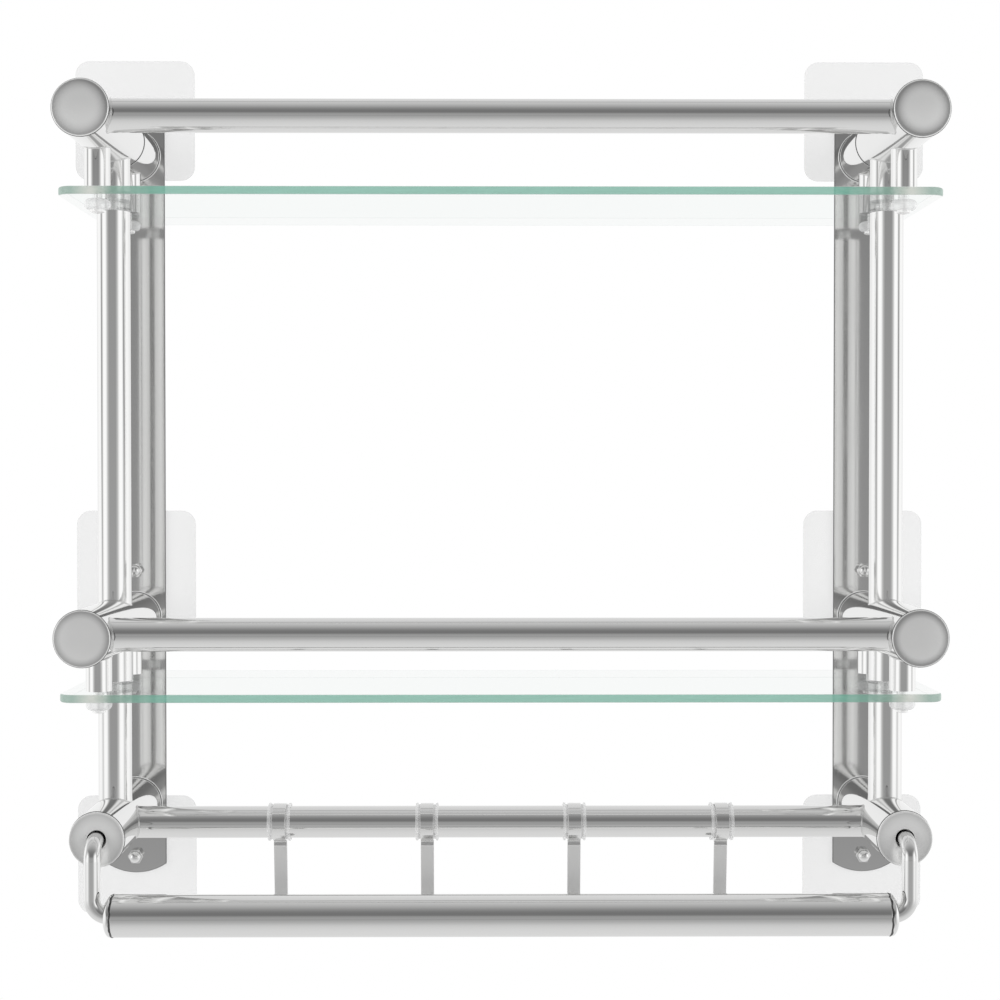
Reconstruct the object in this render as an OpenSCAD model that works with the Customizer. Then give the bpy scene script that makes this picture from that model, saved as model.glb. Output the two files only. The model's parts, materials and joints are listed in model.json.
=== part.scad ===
// Two-tier bathroom towel rack: side frames, glass shelves, hook rail and towel bar.
// X runs to the right, Y into the wall and Z up.
// The wall plane is Y = 0 and the origin is on it, centred between the fixings.

/* [Side frames] */
// Distance between the axes of the left and right arms
arm_spacing = 466; // [440:1:600]
// Height of the upper arms' axis
upper_arm_z = 212; // [205:1:222]
// Height of the middle arms' axis
middle_arm_z = -82; // [-95:1:-75]
// Height of the lower arms' axis
lower_arm_z = -201; // [-210:1:-196]
// Outside diameter of an arm
arm_d = 32; // [28:0.5:34]
// Wall of the arm tube
arm_wall = 1.2; // [0.8:0.1:2]
// Reach of the upper and middle arms from the wall
arm_reach = 155; // [150:1:170]
// Reach of the lower arms from the wall
lower_arm_reach = 119; // [110:1:119]
// Distance from the wall of the joint line round the upper arms
arm_joint_y = 53; // [36:1:54]
// Width of the joint line
arm_joint_w = 0.8; // [0.4:0.1:1.5]
// Depth of the joint line
arm_joint_depth = 0.4; // [0.2:0.1:0.5]

/* [Back plates] */
// Width of a back plate
plate_w = 38; // [34:1:44]
// Thickness of a back plate
plate_t = 2; // [1.5:0.1:3]
// Full height of a back plate
plate_h = 492; // [486:1:500]
// Radius of the arc at each end of a back plate
plate_end_r = 34; // [28:1:60]

/* [Wall pads] */
// Side of a square wall pad
pad_w = 76; // [60:1:80]
// Thickness of a wall pad
pad_t = 1.5; // [1.2:0.1:2.5]
// Corner radius of a wall pad
pad_r = 9; // [4:0.5:15]
// Height of the upper and lower fixings above and below the origin
fixing_z = 235; // [234:1:237]
// Height of the middle fixing
middle_fixing_z = -52; // [-56:1:-48]
// Diameter of the fixing studs
fixing_stud_d = 5; // [4:0.5:6]
// Width across the flats of the dome nuts
dome_nut_af = 8.5; // [8:0.5:10]

/* [Posts and hangers] */
// Diameter of the main posts
post_d = 20; // [16:0.5:22]
// Wall of the main posts
post_wall = 1; // [0.8:0.1:1.5]
// Distance of the main posts' axis from the wall
post_y = 66.5; // [64:0.5:68]
// Diameter of the short hangers
hanger_d = 15; // [12:0.5:17]
// Distance of the hangers in front of and behind the posts
hanger_offset = 44; // [40:0.5:46]

/* [Glass shelves] */
// Length of a glass shelf
glass_l = 506; // [500:1:520]
// Depth of a glass shelf
glass_depth = 125; // [118:1:126]
// Thickness of the glass
glass_t = 5; // [4:0.5:6]
// Corner radius of the glass
glass_r = 9; // [3:0.5:15]
// Distance of the glass's front edge from the wall
glass_front = 129; // [126:0.5:129]
// Drop from the upper arms' axis to the top of the upper glass
upper_glass_drop = 39; // [34:0.5:42]
// Drop from the middle arms' axis to the top of the lower glass
lower_glass_drop = 34; // [34:0.5:42]
// Diameter of the rounded washers under the glass
washer_d = 15; // [13:0.5:17]
// Thickness of the rounded washers
washer_t = 6; // [4:0.5:7]
// Thickness of the gaskets between the posts and the glass
gasket_t = 1; // [0.5:0.1:1.5]

/* [Bars] */
// Diameter of the front bars and the hook rail
bar_d = 19; // [16:0.5:19]
// Wall of the front bars and the hook rail
bar_wall = 1; // [0.8:0.1:1.5]
// Distance of the front bars' axis from the wall
front_bar_y = 138; // [138:0.5:143]
// How far the upper front bar sits below the upper arms' axis
upper_bar_drop = 1.5; // [0:0.1:3]
// How far the middle front bar sits above the middle arms' axis
middle_bar_rise = 1; // [0:0.1:3]

/* [Towel bar] */
// Diameter of the towel bar
towel_bar_d = 24; // [20:0.5:25]
// Length of the towel bar's tube
towel_bar_l = 441.6; // [430:0.1:444]
// Distance of the towel bar's axis from the wall
towel_bar_y = 130; // [130:0.5:134]
// Height of the towel bar's axis
towel_bar_z = -242; // [-250:1:-241]
// Diameter of the bent rods that hold the towel bar
rod_d = 9.4; // [8:0.2:10]
// Radius of the rods' bends, to the rod's centre line
rod_bend_r = 9.5; // [8:0.5:11]

/* [Hooks] */
// Distance between neighbouring hooks
hook_pitch = 89; // [60:1:100]
// Width of the strip that forms a hook
hook_strip_w = 8; // [6:0.1:10]
// Thickness of the strip
hook_strip_t = 1.8; // [1.2:0.1:2.2]
// Drop from the rail's axis to the bottom of a hook
hook_drop = 58; // [50:0.5:60]
// Outside radius of the hook's bend
hook_bend_r = 10; // [8:0.5:12]
// Height of the straight tip above the bend
hook_tip = 4; // [2:0.5:8]
// Angle that a free hook leans back so that it hangs in balance
hook_lean = 6.7; // [0:0.1:12]
// Width of the clear liner under a hook
liner_w = 13.6; // [12:0.1:20]
// Width of the hook's band
band_w = 7.8; // [6:0.1:10]

/* [Hidden] */
$fn = 96;

LEFT = -1;
RIGHT = 1;
SIDES = [LEFT, RIGHT];
over = 1;

steel = "gainsboro";
bright = "silver";
dark_steel = "darkgray";
clear = "whitesmoke";
glass_tint = "paleturquoise";

side_x = arm_spacing / 2;
arm_r = arm_d / 2;
arm_bore_r = arm_r - arm_wall;
post_r = post_d / 2;
hanger_r = hanger_d / 2;
bar_r = bar_d / 2;
towel_bar_r = towel_bar_d / 2;
rod_r = rod_d / 2;

pad_front = pad_t;
plate_front = pad_t + plate_t;
fixing_heights = [fixing_z, middle_fixing_z, -fixing_z];
fixing_hole_r = fixing_stud_d / 2 + 0.25;
stud_base_r = 8;
stud_base_t = 0.7;
stud_reach = 4.5;
nut_hex_t = 4;
nut_dome_r = 3.75;
nut_dome_rise = 1.2;
nut_dome_h = 2.6;

cap_flange_t = 2;
cap_spigot_l = 6;
cap_spigot_wall = 2;
cap_rise = 0.8;
cap_face_r = 15.4;
lower_cap_hole_r = 5.5;
socket_l = 22;

hanger_ys = [post_y - hanger_offset, post_y + hanger_offset];
upper_glass_top = upper_arm_z - upper_glass_drop;
lower_glass_top = middle_arm_z - lower_glass_drop;
post_plug_l = 14;
post_stud_r = 4;
post_stud_grip = 11;
post_glass_hole_r = 4.5;
screw_r = 2;
screw_grip = 9;
screw_head_r = 4;
screw_head_t = 2.2;
screw_head_rise = 0.8;
screw_socket_af = 2.5;
glass_screw_hole_r = 3;
washer_round = 2.5;
gasket_r = post_r;

front_heights = [upper_arm_z, middle_arm_z];
bar_bore_r = bar_r - bar_wall;

towel_bar_wall = 1;
towel_bar_bore_r = towel_bar_r - towel_bar_wall;
plug_rim_t = 1.4;
plug_crown_h = 3.2;
plug_crown_angle = 48;
plug_crown_steps = 4;
plug_flange_t = plug_rim_t + plug_crown_h;
plug_spigot_l = 16;
plug_hole_r = 7;
running_gap = 0.05;
bush_front_x = min(towel_bar_l / 2 + plug_flange_t - 1, side_x - rod_bend_r);
bush_l = bush_front_x - towel_bar_l / 2 + plug_spigot_l;
rod_end_l = 30;

liner_bore_r = bar_r + running_gap;
liner_r = 10.3;
liner_flange_r = 11.3;
liner_flange_t = 1.5;
band_bore_r = liner_r + running_gap;
band_r = 11.15;
neck_r = 1.3;
hook_xs = [-1.5 * hook_pitch, -0.5 * hook_pitch, 0.5 * hook_pitch, 1.5 * hook_pitch];

// Dome cap of height h and base radius r, standing on z = 0
module dome(r, h) {
  ball_r = (r * r + h * h) / (2 * h);
  intersection() {
    translate([0, 0, h - ball_r])
      sphere(r = ball_r);
    cylinder(r = r, h = h);
  }
}

// Solid rod of radius r along Y, from distance front to distance back from the wall
module along_y(r, front, back) {
  translate([0, -front, 0])
    rotate([-90, 0, 0])
      cylinder(r = r, h = front - back);
}

// Solid rod of radius r and length l along X, centred
module along_x(r, l) {
  rotate([0, 90, 0])
    cylinder(r = r, h = l, center = true);
}

// Rounded rectangle w by h centred on the origin
module rounded_rect(w, h, r) {
  square([w - 2 * r, h], center = true);
  square([w, h - 2 * r], center = true);
  for (sx = SIDES, sy = SIDES)
    translate([sx * (w / 2 - r), sy * (h / 2 - r)])
      circle(r = r);
}

// Outline of a back plate: a strip with an arc at each end
module plate_outline() {
  arc_centre = plate_h / 2 - plate_end_r;
  intersection() {
    square([plate_w, plate_h], center = true);
    union() {
      square([plate_w, 2 * arc_centre], center = true);
      for (s = SIDES)
        translate([0, s * arc_centre])
          circle(r = plate_end_r);
    }
  }
}

module back_plate(side) {
  color(bright)
    translate([side * side_x, -pad_front, 0])
      rotate([90, 0, 0])
        linear_extrude(height = plate_t)
          difference() {
            plate_outline();
            for (z = fixing_heights)
              translate([0, z])
                circle(r = fixing_hole_r);
          }
}

// Arm from the back plate to the cap; a jointed arm has a shallow joint line round it
module arm(side, z, reach, jointed = false) {
  color(steel)
    translate([side * side_x, 0, z])
      difference() {
        along_y(arm_r, reach - cap_flange_t, plate_front);
        along_y(arm_bore_r, reach - cap_flange_t + over, plate_front - over);
        if (jointed)
          difference() {
            along_y(arm_r + over, arm_joint_y + arm_joint_w / 2, arm_joint_y - arm_joint_w / 2);
            along_y(arm_r - arm_joint_depth, arm_joint_y + arm_joint_w, arm_joint_y - arm_joint_w);
          }
      }
}

// Closed cap: raised face with a chamfer inside a plain rim, and a hollow spigot in the arm
module closed_cap(side, z) {
  flange_back = arm_reach - cap_flange_t;
  color(bright)
    translate([side * side_x, 0, z]) {
      difference() {
        union() {
          along_y(arm_r, arm_reach - cap_rise, flange_back);
          along_y(arm_bore_r, flange_back, flange_back - cap_spigot_l);
        }
        along_y(arm_bore_r - cap_spigot_wall, flange_back, flange_back - cap_spigot_l - over);
      }
      translate([0, cap_rise - arm_reach, 0])
        rotate([90, 0, 0])
          cylinder(r1 = cap_face_r, r2 = cap_face_r - cap_rise, h = cap_rise);
    }
}

// Flat cap with a centre hole for the bent rod
module open_cap(side) {
  flange_back = lower_arm_reach - cap_flange_t;
  color(bright)
    translate([side * side_x, 0, lower_arm_z])
      difference() {
        union() {
          along_y(arm_r, lower_arm_reach, flange_back);
          along_y(arm_bore_r, flange_back, flange_back - cap_spigot_l);
        }
        along_y(lower_cap_hole_r, lower_arm_reach + over, flange_back - over);
        along_y(arm_bore_r - cap_spigot_wall, flange_back, flange_back - cap_spigot_l - over);
      }
}

// Main post from the gasket under a shelf down to the arm below, coped onto that arm
module main_post(side, top, arm_z) {
  color(steel)
    translate([side * side_x, -post_y, 0])
      difference() {
        translate([0, 0, arm_z])
          cylinder(r = post_r, h = top - arm_z);
        translate([0, 0, arm_z + arm_r + post_plug_l])
          cylinder(r = post_r - post_wall, h = top - arm_z - arm_r - 2 * post_plug_l);
        translate([0, 0, top - post_stud_grip])
          cylinder(r = post_stud_r, h = post_stud_grip + over);
        translate([0, 0, arm_z])
          along_y(arm_r, post_d, -post_d);
      }
}

// Short post above a shelf, coped onto the arm above and tapped for the stud
module post_stub(side, arm_z, bottom) {
  color(steel)
    translate([side * side_x, -post_y, 0])
      difference() {
        translate([0, 0, bottom])
          cylinder(r = post_r, h = arm_z - bottom);
        translate([0, 0, bottom - over])
          cylinder(r = post_stud_r, h = post_stud_grip + over);
        translate([0, 0, arm_z])
          along_y(arm_r, post_d, -post_d);
      }
}

// Front and rear hangers under one arm, coped onto it and tapped for the screws
module hangers(side, arm_z, top) {
  color(steel)
    for (y = hanger_ys)
      translate([side * side_x, -y, 0])
        difference() {
          translate([0, 0, top])
            cylinder(r = hanger_r, h = arm_z - top);
          translate([0, 0, top - over])
            cylinder(r = screw_r, h = screw_grip + over);
          translate([0, 0, arm_z])
            along_y(arm_r, hanger_d, -hanger_d);
        }
}

module glass_shelf(top) {
  color(glass_tint)
    translate([0, 0, top - glass_t])
      difference() {
        translate([0, glass_depth / 2 - glass_front, 0])
          linear_extrude(height = glass_t)
            rounded_rect(glass_l, glass_depth, glass_r);
        for (s = SIDES) {
          translate([s * side_x, -post_y, -over])
            cylinder(r = post_glass_hole_r, h = glass_t + 2 * over);
          for (y = hanger_ys)
            translate([s * side_x, -y, -over])
              cylinder(r = glass_screw_hole_r, h = glass_t + 2 * over);
        }
      }
}

// Washer with a full round edge, hanging below z = 0
module round_washer() {
  core_r = washer_d / 2 - washer_round;
  difference() {
    union() {
      translate([0, 0, -washer_t])
        cylinder(r = core_r, h = washer_t);
      translate([0, 0, -washer_t / 2])
        rotate_extrude()
          intersection() {
            translate([core_r, 0])
              circle(r = washer_t / 2);
            translate([0, -washer_t / 2])
              square([washer_d / 2, washer_t]);
          }
    }
    translate([0, 0, -washer_t - over])
      cylinder(r = screw_r, h = washer_t + 2 * over);
  }
}

module glass_washers(glass_top) {
  color(clear)
    for (s = SIDES, y = hanger_ys)
      translate([s * side_x, -y, glass_top - glass_t])
        round_washer();
}

module gasket() {
  difference() {
    cylinder(r = gasket_r, h = gasket_t);
    translate([0, 0, -over])
      cylinder(r = post_stud_r, h = gasket_t + 2 * over);
  }
}

module post_gaskets() {
  color(clear)
    for (s = SIDES, top = [upper_glass_top, lower_glass_top])
      translate([s * side_x, -post_y, top]) {
        gasket();
        translate([0, 0, -glass_t - gasket_t])
          gasket();
      }
}

module post_studs() {
  clamp_t = glass_t + 2 * gasket_t;
  color(dark_steel)
    for (s = SIDES, top = [upper_glass_top, lower_glass_top])
      translate([s * side_x, -post_y, top + gasket_t - clamp_t - post_stud_grip])
        cylinder(r = post_stud_r, h = clamp_t + 2 * post_stud_grip);
}

// Screw whose head bears on the underside of a round washer
module hanger_screw() {
  head_top = -glass_t - washer_t;
  difference() {
    union() {
      translate([0, 0, head_top])
        cylinder(r = screw_r, h = screw_grip - head_top);
      translate([0, 0, head_top - screw_head_t + screw_head_rise])
        cylinder(r = screw_head_r, h = screw_head_t - screw_head_rise);
      translate([0, 0, head_top - screw_head_t + screw_head_rise])
        rotate([180, 0, 0])
          dome(screw_head_r, screw_head_rise);
    }
    translate([0, 0, head_top - screw_head_t])
      cylinder(d = screw_socket_af * 2 / sqrt(3), h = screw_head_t - screw_head_rise, $fn = 6);
  }
}

module hanger_screws() {
  color(dark_steel)
    for (s = SIDES, y = hanger_ys, top = [upper_glass_top, lower_glass_top])
      translate([s * side_x, -y, top])
        hanger_screw();
}

// Tube along X between the two arms, at distance y from the wall and coped onto them; rise lifts its axis
module cross_tube(y, arm_z, rise = 0) {
  color(steel)
    translate([0, -y, arm_z])
      difference() {
        translate([0, 0, rise])
          difference() {
            along_x(bar_r, arm_spacing);
            along_x(bar_bore_r, arm_spacing + 2 * over);
          }
        for (s = SIDES)
          translate([s * side_x, 0, 0])
            along_y(arm_r, bar_d, -bar_d);
      }
}

// Flanged sleeve round the hook rail
module hook_liner(x) {
  color(clear)
    translate([x, -post_y, lower_arm_z])
      difference() {
        union() {
          along_x(liner_r, liner_w);
          for (s = SIDES)
            translate([s * (liner_w - liner_flange_t) / 2, 0, 0])
              along_x(liner_flange_r, liner_flange_t);
        }
        along_x(liner_bore_r, liner_w + 2 * over);
      }
}

// Side outline of the strip: straight drop, half-round bend and tip, with the rail's axis at 0, 0
module hook_strip_outline() {
  bend_z = hook_bend_r - hook_drop;
  inner_r = hook_bend_r - hook_strip_t;
  bend_y = hook_strip_t / 2 - hook_bend_r;
  translate([-hook_strip_t / 2, bend_z])
    square([hook_strip_t, -bend_z - (band_bore_r + band_r) / 2]);
  translate([bend_y - hook_bend_r, bend_z])
    square([hook_strip_t, hook_tip]);
  difference() {
    translate([bend_y, bend_z])
      circle(r = hook_bend_r);
    translate([bend_y, bend_z])
      circle(r = inner_r);
    translate([bend_y - 2 * hook_bend_r, bend_z])
      square([4 * hook_bend_r, 2 * hook_bend_r]);
  }
}

// Ring hook: band round the liner, weld at the neck and strip, leaning back into balance
module hook(x) {
  color(steel)
    translate([x, -post_y, lower_arm_z])
      rotate([hook_lean, 0, 0])
        difference() {
          union() {
            along_x(band_r, band_w);
            translate([0, 0, -band_r])
              along_x(neck_r, hook_strip_w);
            translate([-hook_strip_w / 2, 0, 0])
              rotate([90, 0, 90])
                linear_extrude(height = hook_strip_w)
                  hook_strip_outline();
          }
          along_x(band_bore_r, band_w + 2 * over);
        }
}

module towel_bar() {
  color(steel)
    translate([0, -towel_bar_y, towel_bar_z])
      difference() {
        along_x(towel_bar_r, towel_bar_l);
        along_x(towel_bar_bore_r, towel_bar_l + 2 * over);
      }
}

// Crown of a plug: cones stacked along a quarter-oval
module plug_crown() {
  step = plug_crown_angle / plug_crown_steps;
  unit = plug_crown_h / sin(plug_crown_angle);
  for (i = [0 : plug_crown_steps - 1])
    translate([0, 0, unit * sin(i * step)])
      cylinder(
        r1 = towel_bar_r * cos(i * step),
        r2 = towel_bar_r * cos((i + 1) * step),
        h = unit * (sin((i + 1) * step) - sin(i * step)));
}

// Chrome plug in the towel bar's end, bored for the bush
module bar_plug(side) {
  color(bright)
    translate([side * towel_bar_l / 2, -towel_bar_y, towel_bar_z])
      rotate([0, side * 90, 0])
        difference() {
          union() {
            cylinder(r = towel_bar_r, h = plug_rim_t);
            translate([0, 0, plug_rim_t])
              plug_crown();
            translate([0, 0, -plug_spigot_l])
              cylinder(r = towel_bar_bore_r, h = plug_spigot_l);
          }
          translate([0, 0, -plug_spigot_l - over])
            cylinder(r = plug_hole_r, h = plug_spigot_l + plug_flange_t + 2 * over);
        }
}

module bar_bushes() {
  color(dark_steel)
    for (s = SIDES)
      translate([s * towel_bar_l / 2, -towel_bar_y, towel_bar_z])
        rotate([0, s * 90, 0])
          translate([0, 0, -plug_spigot_l])
            difference() {
              cylinder(r = plug_hole_r, h = bush_l);
              translate([0, 0, -over])
                cylinder(r = rod_r + running_gap, h = bush_l + 2 * over);
            }
}

// Quarter bend of the rod in the XY plane, from +X at the start round to +Y, centred on the origin
module rod_quarter() {
  rotate_extrude(angle = 90)
    translate([rod_bend_r, 0])
      circle(r = rod_r);
}

// Rod from the lower arm's socket, bent down in front of it and then inward into the towel bar
module bent_rod(side) {
  first_bend_y = towel_bar_y - rod_bend_r;
  second_bend_z = towel_bar_z + rod_bend_r;
  bend_end_x = side_x - rod_bend_r;
  socket_back = lower_arm_reach - cap_flange_t - cap_spigot_l - socket_l;
  color(steel) {
    translate([side * side_x, 0, lower_arm_z])
      along_y(rod_r, first_bend_y, socket_back);
    translate([side * side_x, -first_bend_y, lower_arm_z - rod_bend_r])
      rotate([0, -90, 180])
        rod_quarter();
    translate([side * side_x, -towel_bar_y, second_bend_z])
      cylinder(r = rod_r, h = lower_arm_z - rod_bend_r - second_bend_z);
    translate([side * bend_end_x, -towel_bar_y, second_bend_z])
      rotate([-90, 0, side == RIGHT ? 0 : 180])
        rod_quarter();
    translate([side * (bend_end_x - rod_end_l / 2), -towel_bar_y, towel_bar_z])
      along_x(rod_r, rod_end_l);
  }
}

module rod_sockets() {
  socket_front = lower_arm_reach - cap_flange_t - cap_spigot_l;
  color(dark_steel)
    for (s = SIDES)
      translate([s * side_x, 0, lower_arm_z])
        difference() {
          along_y(arm_bore_r, socket_front, socket_front - socket_l);
          along_y(rod_r, socket_front + over, socket_front - socket_l - over);
        }
}

// Clear pad, flat against the wall, with a pocket in its front for the stud's base
module wall_pad(side, z) {
  color(clear)
    translate([side * side_x, 0, z])
      rotate([90, 0, 0])
        difference() {
          linear_extrude(height = pad_t)
            rounded_rect(pad_w, pad_w, pad_r);
          translate([0, 0, pad_t - stud_base_t])
            cylinder(r = stud_base_r, h = stud_base_t + over);
        }
}

module pad_studs() {
  color(dark_steel)
    for (s = SIDES, z = fixing_heights)
      translate([s * side_x, 0, z]) {
        along_y(stud_base_r, pad_front, pad_front - stud_base_t);
        along_y(fixing_stud_d / 2, plate_front + stud_reach, pad_front - stud_base_t);
      }
}

module stud_nuts() {
  nut_front = plate_front + nut_hex_t;
  color(bright)
    for (s = SIDES, z = fixing_heights)
      translate([s * side_x, -plate_front, z])
        rotate([90, 0, 0])
          difference() {
            union() {
              cylinder(d = dome_nut_af * 2 / sqrt(3), h = nut_hex_t, $fn = 6);
              cylinder(r = nut_dome_r, h = nut_hex_t + nut_dome_rise);
              translate([0, 0, nut_hex_t + nut_dome_rise])
                dome(nut_dome_r, nut_dome_h);
            }
            translate([0, 0, -over])
              cylinder(r = fixing_stud_d / 2, h = stud_reach + over);
          }
}

back_plate(LEFT);  // left_back_plate
back_plate(RIGHT);  // right_back_plate
arm(LEFT, upper_arm_z, arm_reach, jointed = true);  // left_upper_arm
arm(RIGHT, upper_arm_z, arm_reach, jointed = true);  // right_upper_arm
arm(LEFT, middle_arm_z, arm_reach);  // left_middle_arm
arm(RIGHT, middle_arm_z, arm_reach);  // right_middle_arm
arm(LEFT, lower_arm_z, lower_arm_reach);  // left_lower_arm
arm(RIGHT, lower_arm_z, lower_arm_reach);  // right_lower_arm
closed_cap(LEFT, upper_arm_z);  // left_upper_arm_cap
closed_cap(RIGHT, upper_arm_z);  // right_upper_arm_cap
closed_cap(LEFT, middle_arm_z);  // left_middle_arm_cap
closed_cap(RIGHT, middle_arm_z);  // right_middle_arm_cap
open_cap(LEFT);  // left_lower_arm_cap
open_cap(RIGHT);  // right_lower_arm_cap
main_post(LEFT, upper_glass_top - glass_t - gasket_t, middle_arm_z);  // left_upper_post
main_post(RIGHT, upper_glass_top - glass_t - gasket_t, middle_arm_z);  // right_upper_post
main_post(LEFT, lower_glass_top - glass_t - gasket_t, lower_arm_z);  // left_lower_post
main_post(RIGHT, lower_glass_top - glass_t - gasket_t, lower_arm_z);  // right_lower_post
post_stub(LEFT, upper_arm_z, upper_glass_top + gasket_t);  // left_upper_post_stub
post_stub(RIGHT, upper_arm_z, upper_glass_top + gasket_t);  // right_upper_post_stub
post_stub(LEFT, middle_arm_z, lower_glass_top + gasket_t);  // left_lower_post_stub
post_stub(RIGHT, middle_arm_z, lower_glass_top + gasket_t);  // right_lower_post_stub
hangers(LEFT, upper_arm_z, upper_glass_top);  // left_upper_hangers
hangers(RIGHT, upper_arm_z, upper_glass_top);  // right_upper_hangers
hangers(LEFT, middle_arm_z, lower_glass_top);  // left_lower_hangers
hangers(RIGHT, middle_arm_z, lower_glass_top);  // right_lower_hangers
glass_shelf(upper_glass_top);  // upper_glass
glass_shelf(lower_glass_top);  // lower_glass
glass_washers(upper_glass_top);  // upper_glass_washers
glass_washers(lower_glass_top);  // lower_glass_washers
post_gaskets();
post_studs();
hanger_screws();
cross_tube(front_bar_y, upper_arm_z, -upper_bar_drop);  // upper_front_bar
cross_tube(front_bar_y, middle_arm_z, middle_bar_rise);  // middle_front_bar
cross_tube(post_y, lower_arm_z);  // hook_rail
hook(hook_xs[0]);  // hook_1
hook(hook_xs[1]);  // hook_2
hook(hook_xs[2]);  // hook_3
hook(hook_xs[3]);  // hook_4
hook_liner(hook_xs[0]);  // hook_liner_1
hook_liner(hook_xs[1]);  // hook_liner_2
hook_liner(hook_xs[2]);  // hook_liner_3
hook_liner(hook_xs[3]);  // hook_liner_4
towel_bar();
bar_plug(LEFT);  // left_bar_plug
bar_plug(RIGHT);  // right_bar_plug
bar_bushes();
bent_rod(LEFT);  // left_bent_rod
bent_rod(RIGHT);  // right_bent_rod
rod_sockets();
wall_pad(LEFT, fixing_z);  // left_upper_pad
wall_pad(RIGHT, fixing_z);  // right_upper_pad
wall_pad(LEFT, middle_fixing_z);  // left_middle_pad
wall_pad(RIGHT, middle_fixing_z);  // right_middle_pad
wall_pad(LEFT, -fixing_z);  // left_lower_pad
wall_pad(RIGHT, -fixing_z);  // right_lower_pad
pad_studs();
stud_nuts();
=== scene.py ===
import json
import math

import bmesh
import bpy
from mathutils import Matrix, Vector

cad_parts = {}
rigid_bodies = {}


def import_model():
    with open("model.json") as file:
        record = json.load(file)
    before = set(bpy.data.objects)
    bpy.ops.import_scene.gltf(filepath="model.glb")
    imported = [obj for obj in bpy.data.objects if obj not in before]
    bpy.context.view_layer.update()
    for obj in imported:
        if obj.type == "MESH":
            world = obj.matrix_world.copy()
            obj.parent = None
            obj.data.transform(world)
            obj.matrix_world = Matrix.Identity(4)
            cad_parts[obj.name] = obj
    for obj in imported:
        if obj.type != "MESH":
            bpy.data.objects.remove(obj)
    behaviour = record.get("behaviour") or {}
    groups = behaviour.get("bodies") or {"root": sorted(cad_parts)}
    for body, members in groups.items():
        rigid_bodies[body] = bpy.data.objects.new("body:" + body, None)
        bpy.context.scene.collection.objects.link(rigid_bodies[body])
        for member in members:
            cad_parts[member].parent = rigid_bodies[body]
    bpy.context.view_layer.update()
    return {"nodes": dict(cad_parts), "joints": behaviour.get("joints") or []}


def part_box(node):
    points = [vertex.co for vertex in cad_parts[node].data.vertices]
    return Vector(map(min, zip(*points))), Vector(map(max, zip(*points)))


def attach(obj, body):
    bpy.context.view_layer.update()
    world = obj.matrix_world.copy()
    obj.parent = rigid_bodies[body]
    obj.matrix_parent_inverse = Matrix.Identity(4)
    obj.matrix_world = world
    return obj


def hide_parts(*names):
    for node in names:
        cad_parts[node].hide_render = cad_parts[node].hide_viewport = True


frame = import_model()
nodes = frame["nodes"]
scene = bpy.context.scene

SIDES = ("left", "right")
SIDE_SIGNS = (("left", -1), ("right", 1))
LEVELS = ("upper", "middle", "lower")
MM = 0.001
X, Y, Z = Vector((1, 0, 0)), Vector((0, 1, 0)), Vector((0, 0, 1))


# ---------------------------------------------------------------- positions from the frame
def mid(name):
    lo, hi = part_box(name)
    return (Vector(lo) + Vector(hi)) / 2


def size(name):
    lo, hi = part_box(name)
    return Vector(hi) - Vector(lo)


def low(name):
    return Vector(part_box(name)[0])


def high(name):
    return Vector(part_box(name)[1])


def joint(name):
    return next(j for j in frame["joints"] if j["name"] == name)


def arm_radius(arm):
    return size(arm).x / 2


def bar_radius(bar):
    return size(bar).z / 2


def hanger_places(side, level):
    """The Y of the front hanger's axis and of the rear one's, and their radius."""
    lo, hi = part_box(f"{side}_{level}_hangers")
    r = (hi[0] - lo[0]) / 2
    return lo[1] + r, hi[1] - r, r


def bar_end(side, name):
    """How far out a piece reaches along X on one side."""
    return low(name).x if side == "left" else high(name).x


# ---------------------------------------------------------------- camera
LOOK_DOWN, LOOK_RIGHT = 0.85, 0.41  # degrees

cam_data = bpy.data.cameras.new("camera")
cam_data.lens = 63.0
cam_data.sensor_width = 36.0
cam_data.clip_start = 0.01
cam_data.clip_end = 50.0
camera = bpy.data.objects.new("camera", cam_data)
scene.collection.objects.link(camera)
camera.location = (-0.008, -1.124, 0.0095)
camera.rotation_euler = (math.radians(90.0 - LOOK_DOWN), 0.0, math.radians(-LOOK_RIGHT))
scene.camera = camera


# ---------------------------------------------------------------- material tools
def add_math(nt, op, a, b=None):
    """A maths node in a node tree. Each value is a number or another node's output."""
    m = nt.nodes.new("ShaderNodeMath")
    m.operation = op
    for i, v in enumerate((a, b)):
        if v is None:
            continue
        if isinstance(v, (int, float)):
            m.inputs[i].default_value = v
        else:
            nt.links.new(v, m.inputs[i])
    return m.outputs[0]


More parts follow.
